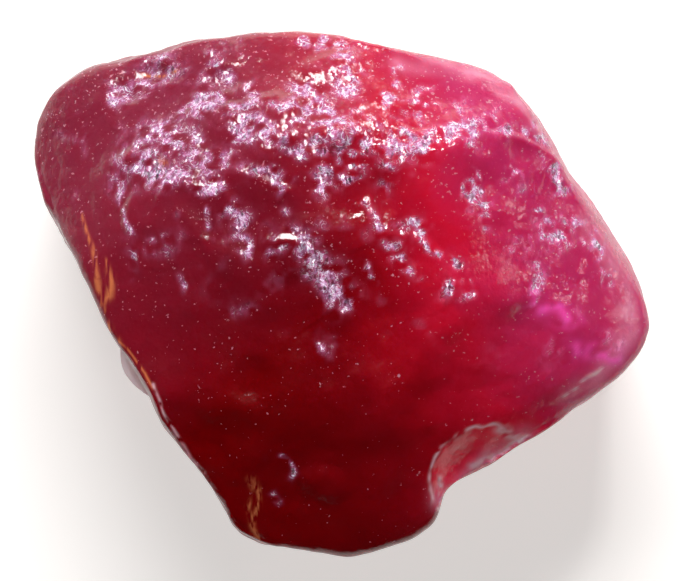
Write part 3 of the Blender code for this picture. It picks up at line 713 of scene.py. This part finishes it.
def frostSparkleNodes(tree, place, frost):  # grains of frost and painted sparkle where crumb noise plus the frost's share pass a threshold
    look = rubyLook
    crumbs = addNode(tree, "ShaderNodeTexNoise", {
        "Vector": (place, "Object"), "Scale": 1 / (look["crumb"] * mm), "Detail": 5.0, "Roughness": 0.75})
    crumbs = addNode(tree, "ShaderNodeMath", {
        0: (crumbs, "Fac"), 1: look["crumbSpread"], 2: -0.5 * look["crumbSpread"]}, operation="MULTIPLY_ADD")
    crumbs = addNode(tree, "ShaderNodeMath", {
        0: (frost, "Fac"), 1: look["crumbLift"], 2: (crumbs, "Value")}, operation="MULTIPLY_ADD")
    grains = addNode(tree, "ShaderNodeMapRange", {
        "Value": (crumbs, "Value"), "From Min": look["frostSparkleFrom"], "From Max": look["frostSparkleTo"],
        "To Min": 0.0, "To Max": look["frostSparkleMost"]})
    thick = addNode(tree, "ShaderNodeMapRange", {
        "Value": (crumbs, "Value"), "From Min": look["frostSparkleFrom"], "From Max": look["frostSparkleFrom"] + 1.0,
        "To Min": 0.0, "To Max": 1.0})
    white = addNode(tree, "ShaderNodeValToRGB", {"Fac": (thick, "Result")})
    setRamp(white, look["frostSparkleTints"])
    return grains, white


def threadNodes(tree, place, frost):  # thin lines, partly cracks and partly painted glints, where a noise passes its middle, only in deep frost
    look = rubyLook
    threads = addNode(tree, "ShaderNodeTexNoise", {
        "Vector": (place, "Object"), "Scale": 1 / (look["threadSize"] * mm),
        "Detail": 2.0, "Distortion": 0.8})
    threads = addNode(tree, "ShaderNodeMath", {0: (threads, "Fac"), 1: 0.5}, operation="SUBTRACT")
    threads = addNode(tree, "ShaderNodeMath", {0: (threads, "Value")}, operation="ABSOLUTE")
    threads = addNode(tree, "ShaderNodeMapRange", {
        "Value": (threads, "Value"), "From Min": 0.4 * look["threadWidth"], "From Max": look["threadWidth"],
        "To Min": 1.0, "To Max": 0.0})
    deep = addNode(tree, "ShaderNodeMapRange", {
        "Value": (frost, "Fac"), "From Min": look["threadFrom"], "From Max": look["threadTo"],
        "To Min": 0.0, "To Max": 1.0})
    return addNode(tree, "ShaderNodeMath", {
        0: (threads, "Result"), 1: (deep, "Result")}, operation="MULTIPLY")


def stainNodes(tree, place, stain):  # the stain's share, cut into streaks by noise drawn out along the edge
    look = rubyLook
    drawn = addNode(tree, "ShaderNodeMapping", {
        "Vector": (place, "Object"), "Rotation": (0, 0, math.radians(look["streakTurn"])),
        "Scale": look["streakStretch"]})
    streaks = addNode(tree, "ShaderNodeTexNoise", {
        "Vector": (drawn, "Vector"), "Scale": 1 / (look["streak"] * mm), "Detail": 2.0})
    streaks = addNode(tree, "ShaderNodeMapRange", {
        "Value": (streaks, "Fac"), "From Min": look["streakFrom"], "From Max": look["streakTo"],
        "To Min": 0.0, "To Max": 1.0})
    return addNode(tree, "ShaderNodeMath", {
        0: (streaks, "Result"), 1: (stain, "Fac")}, operation="MULTIPLY")


def facingNodes(tree, place, frost):  # grain as a bump, and small cells that each tilt the normal
    look = rubyLook
    stretched = addNode(tree, "ShaderNodeVectorMath", {
        0: (place, "Object"), 1: look["facetStretch"]}, operation="MULTIPLY")
    cells = addNode(tree, "ShaderNodeTexVoronoi", {
        "Vector": (stretched, "Vector"), "Scale": 1 / (look["facet"] * mm), "Randomness": 1.0})
    tilt = addNode(tree, "ShaderNodeVectorMath", {
        0: (cells, "Color"), 1: (0.5, 0.5, 0.5)}, operation="SUBTRACT")
    amount = addNode(tree, "ShaderNodeMath", {
        0: (frost, "Fac"), 1: look["facetTilt"], 2: look["facetLeast"]}, operation="MULTIPLY_ADD")
    tilt = addNode(tree, "ShaderNodeVectorMath", {
        0: (tilt, "Vector"), "Scale": (amount, "Value")}, operation="SCALE")
    grain = addNode(tree, "ShaderNodeTexNoise", {
        "Vector": (place, "Object"), "Scale": 1 / (look["grain"] * mm), "Detail": 4.0})
    bump = addNode(tree, "ShaderNodeBump", {
        "Height": (grain, "Fac"), "Distance": look["grainHeight"] * mm, "Strength": 1.0})
    facing = addNode(tree, "ShaderNodeVectorMath", {
        0: (bump, "Normal"), 1: (tilt, "Vector")}, operation="ADD")
    return addNode(tree, "ShaderNodeVectorMath", {0: (facing, "Vector")}, operation="NORMALIZE")


def roughnessNodes(tree, mottle, flank):  # worn where the mottle is high, and rougher on the flanks
    look = rubyLook
    worn = addNode(tree, "ShaderNodeMapRange", {
        "Value": (mottle, "Fac"), "From Min": look["wornFrom"], "From Max": look["wornTo"],
        "To Min": look["roughness"], "To Max": look["wornRoughness"]})
    return addNode(tree, "ShaderNodeMath", {
        0: (flank, "Fac"), 1: look["flankRoughness"], 2: (worn, "Result")}, operation="MULTIPLY_ADD")


def roughRuby():  # clear where it is clean, and cloudy under frost, film, stain and flaws
    look = rubyLook
    material = bpy.data.materials.new("roughRuby")
    material.use_nodes = True
    tree = material.node_tree
    tree.nodes.clear()
    place = addNode(tree, "ShaderNodeTexCoord")
    across = addNode(tree, "ShaderNodeSeparateXYZ", {"Vector": (place, "Object")})
    mottle = addNode(tree, "ShaderNodeTexNoise", {
        "Vector": (place, "Object"), "Scale": 1 / (look["mottle"] * mm), "Detail": 5.0, "Roughness": 0.6})
    frost, stain, pale, lit, flaw, chipped, flank = [
        addNode(tree, "ShaderNodeAttribute", attribute_name=name)
        for name in ("frost", "stain", "pale", "lit", "flaw", "chipped", "flank")]
    # painted reflection: a violet veil that grows towards the upper left
    paintedVeil = addNode(tree, "ShaderNodeMath", {0: (across, "Y"), 1: (across, "X")}, operation="SUBTRACT")
    paintedVeil = addNode(tree, "ShaderNodeMapRange", {
        "Value": (paintedVeil, "Value"), "From Min": 0.0, "From Max": look["paintedVeilAcross"] * mm,
        "To Min": 0.0, "To Max": look["paintedVeilMost"]})
    # the chip's brightened red is painted light, the flaws' glow painted light, the film partly a painted
    # sheen
    freshAndLit, glow, filmAndSheen = [
        addNode(tree, "ShaderNodeMath", {0: (mark, "Fac"), 1: look[most]}, operation="MULTIPLY")
        for mark, most in ((chipped, "chippedMost"), (flaw, "flawGlowMost"), (frost, "filmAndSheenMost"))]
    dustGlint = dustGlintNodes(tree, place, across, mottle)
    grains, white = frostSparkleNodes(tree, place, frost)
    threads = threadNodes(tree, place, frost)
    stained = stainNodes(tree, place, stain)
    colour = tintLightAndShadeNodes(tree, place, across, mottle)
    for share, socket, tint in (      # each is laid over the ones before it; all but the ochre stain are partly or wholly painted light
            (paintedVeil, "Result", "paintedVeil"), (freshAndLit, "Value", "chipped"), (lit, "Fac", "lit"),
            (glow, "Value", "flaw"), (dustGlint, "Result", "dustGlint"), (filmAndSheen, "Value", "filmAndSheen"),
            (grains, "Result", None), (threads, "Value", "thread"), (stained, "Value", "ochre"),
            (pale, "Fac", "pale")):
        colour = addNode(tree, "ShaderNodeMixRGB", {
            "Fac": (share, socket), "Color1": (colour, "Color"),
            "Color2": linear(look[tint]) if tint else (white, "Color")})
    opaque = addNode(tree, "ShaderNodeMath", {
        0: (grains, "Result"), 1: (stained, "Value")}, operation="MAXIMUM")
    opaque = addNode(tree, "ShaderNodeMath", {
        0: (opaque, "Value"), 1: (filmAndSheen, "Value")}, operation="MAXIMUM")
    opaque = addNode(tree, "ShaderNodeMath", {
        0: (flaw, "Fac"), 1: look["flawCloud"], 2: (opaque, "Value")}, operation="MULTIPLY_ADD")
    clear, milky = [
        addNode(tree, "ShaderNodeMapRange", {
            "Value": (opaque, "Value"), "From Min": 0.0, "From Max": 1.0,
            "To Min": look[most], "To Max": 0.0})
        for most in ("transmission", "subsurface")]
    rough = roughnessNodes(tree, mottle, flank)
    facing = facingNodes(tree, place, frost)
    shader = addNode(tree, "ShaderNodeBsdfPrincipled", {
        "Base Color": (colour, "Color"), "Roughness": (rough, "Value"), "IOR": look["ior"],
        "Transmission Weight": (clear, "Result"), "Specular IOR Level": look["specular"],
        "Subsurface Weight": (milky, "Result"), "Subsurface Radius": look["subsurfaceShares"],
        "Subsurface Scale": look["subsurfaceReach"] * mm, "Normal": (facing, "Vector")})
    depth = addNode(tree, "ShaderNodeVolumeAbsorption", {
        "Color": linear(look["absorb"]), "Density": look["absorbDensity"]})
    addNode(tree, "ShaderNodeOutputMaterial", {"Surface": (shader, "BSDF"), "Volume": (depth, "Volume")})
    return material


ruby.data.materials.append(roughRuby())
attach(ruby, "root")
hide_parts("ruby_crystal")
print("ruby material made")


# pale paper sweep, soft studio lights, camera straight above
studio = {      # lengths in mm
    "paper": "#c9c6c3", "paperRoughness": 0.9, "floorReach": 400,
    "floorGap": 0.002,                           # between the sheet and the stone's flat base
    "glow": "#f4f1ee", "paperGlow": 0.70,        # the sheet is lit from below too
    "horizon": [(0.0, "#fbfaf8"), (0.03, "#fbfaf8"), (0.07, "#000000")],   # by sine of height
    "farWall": [(0.20, "#060505"), (0.40, "#261f2a"), (0.60, "#645c6e"), (0.80, "#b0a8ba")],
    "farAlong": (-0.12, 0.30, -0.40),            # the far wall is bright low down and towards +Y
    "lights": {                                  # power in watts
        "keyLight": {"place": (-4, 44, 52), "size": 30, "power": 0.055},
        "glintLight": {"place": (12, 40, 50), "size": 6, "power": 0.013},
        "rightLight": {"place": (62, 20, 34), "size": 6, "power": 0.0012},
    },
    "lightsAim": 2,                              # the height that the lights point at
    "cameraHeight": 102, "frameWidth": 9.24, "frameMiddle": (0.11, 0.04),
}


def makeFloor():
    reach, down = studio["floorReach"] * mm, -studio["floorGap"] * mm
    mesh = bpy.data.meshes.new("paperFloor")
    mesh.from_pydata([(-reach, -reach, down), (reach, -reach, down), (reach, reach, down),
                      (-reach, reach, down)], [], [(0, 1, 2, 3)])
    floor = bpy.data.objects.new("paperFloor", mesh)
    bpy.context.scene.collection.objects.link(floor)
    material = bpy.data.materials.new("mattePaper")
    material.use_nodes = True
    shader = material.node_tree.nodes["Principled BSDF"]
    shader.inputs["Base Color"].default_value = linear(studio["paper"])
    shader.inputs["Roughness"].default_value = studio["paperRoughness"]
    shader.inputs["Emission Color"].default_value = linear(studio["glow"])
    shader.inputs["Emission Strength"].default_value = studio["paperGlow"]
    mesh.materials.append(material)


def makeLights():
    for name, light in studio["lights"].items():
        lamp = bpy.data.lights.new(name, "AREA")
        lamp.size = light["size"] * mm
        lamp.energy = light["power"]
        holder = bpy.data.objects.new(name, lamp)
        holder.location = Vector(light["place"]) * mm
        aim = Vector((0, 0, studio["lightsAim"] * mm)) - holder.location
        holder.rotation_euler = aim.to_track_quat("-Z", "Y").to_euler()
        bpy.context.scene.collection.objects.link(holder)


def makeCamera():  # the frame's width is met at the height of the rim
    lens = bpy.data.cameras.new("aboveCamera")
    height = studio["cameraHeight"] - rubyForm["rimHeight"]
    lens.lens = lens.sensor_width * height / studio["frameWidth"]
    lens.clip_start = 0.001
    lens.clip_end = 10
    camera = bpy.data.objects.new("aboveCamera", lens)
    middleX, middleY = studio["frameMiddle"]
    camera.location = (middleX * mm, middleY * mm, studio["cameraHeight"] * mm)
    bpy.context.scene.collection.objects.link(camera)
    bpy.context.scene.camera = camera


def makeRoom():  # bright near the horizon, dark overhead, so the flat top faces keep their depth
    world = bpy.data.worlds.new("studioRoom")
    world.use_nodes = True
    bpy.context.scene.world = world
    tree = world.node_tree
    way = addNode(tree, "ShaderNodeTexCoord")
    parts = addNode(tree, "ShaderNodeSeparateXYZ", {"Vector": (way, "Generated")})
    band = addNode(tree, "ShaderNodeValToRGB", {"Fac": (parts, "Z")})
    setRamp(band, studio["horizon"])
    farX, farY, farZ = studio["farAlong"]
    far = addNode(tree, "ShaderNodeMath", {0: (parts, "Z"), 1: farZ, 2: 0.5}, operation="MULTIPLY_ADD")
    for axis, gain in (("Y", farY), ("X", farX)):
        far = addNode(tree, "ShaderNodeMath", {0: (parts, axis), 1: gain, 2: (far, "Value")},
                      operation="MULTIPLY_ADD")
    wall = addNode(tree, "ShaderNodeValToRGB", {"Fac": (far, "Value")})
    setRamp(wall, studio["farWall"])
    room = addNode(tree, "ShaderNodeMixRGB", {
        "Fac": 1.0, "Color1": (band, "Color"), "Color2": (wall, "Color")}, blend_type="LIGHTEN")
    tree.links.new(room.outputs["Color"], tree.nodes["Background"].inputs["Color"])


makeFloor()
makeLights()
makeCamera()
makeRoom()
bpy.context.scene.view_settings.view_transform = "Standard"
print("studio made")
